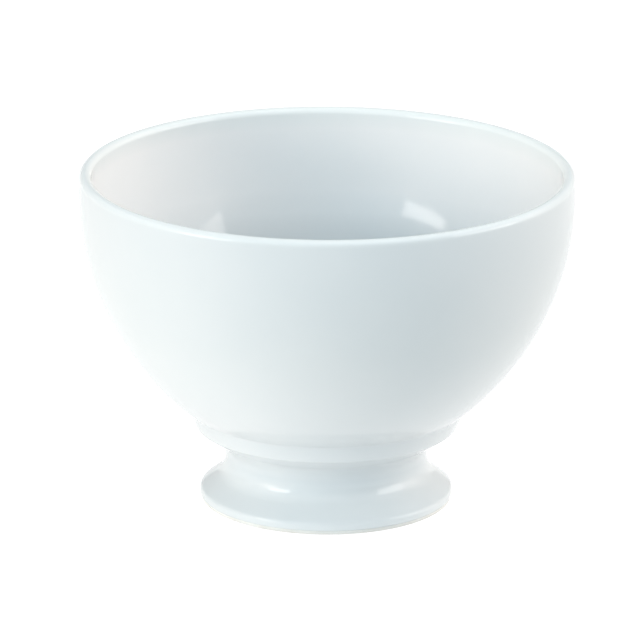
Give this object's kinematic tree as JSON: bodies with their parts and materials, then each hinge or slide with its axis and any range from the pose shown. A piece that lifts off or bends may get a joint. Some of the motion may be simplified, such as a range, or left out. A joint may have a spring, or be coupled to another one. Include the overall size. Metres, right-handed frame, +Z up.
{
  "type": "footed bowl",
  "caption": "Round white glazed porcelain bowl on a moulded pedestal foot with a hollow underside; holds a drink, soup or cereal and stands on its ring.",
  "frame": {"origin": "centre of the standing ring, on the surface that the bowl stands on", "axes": "+Z up along the axis that the bowl is turned on; +X to the right and -Y towards the viewer of the picture, though the bowl is the same all round"},
  "size_m": [0.14, 0.14, 0.096],
  "materials": {
    "glaze": "gloss",
    "bisque": "matte",
    "slip": "matte"
  },
  "bodies": {
    "root": {"bowl_body": "bisque", "slip_joint": "slip", "pedestal_foot": "bisque", "glaze_coat": "glaze", "recess_glaze": "glaze"}
  },
  "joints": []
}
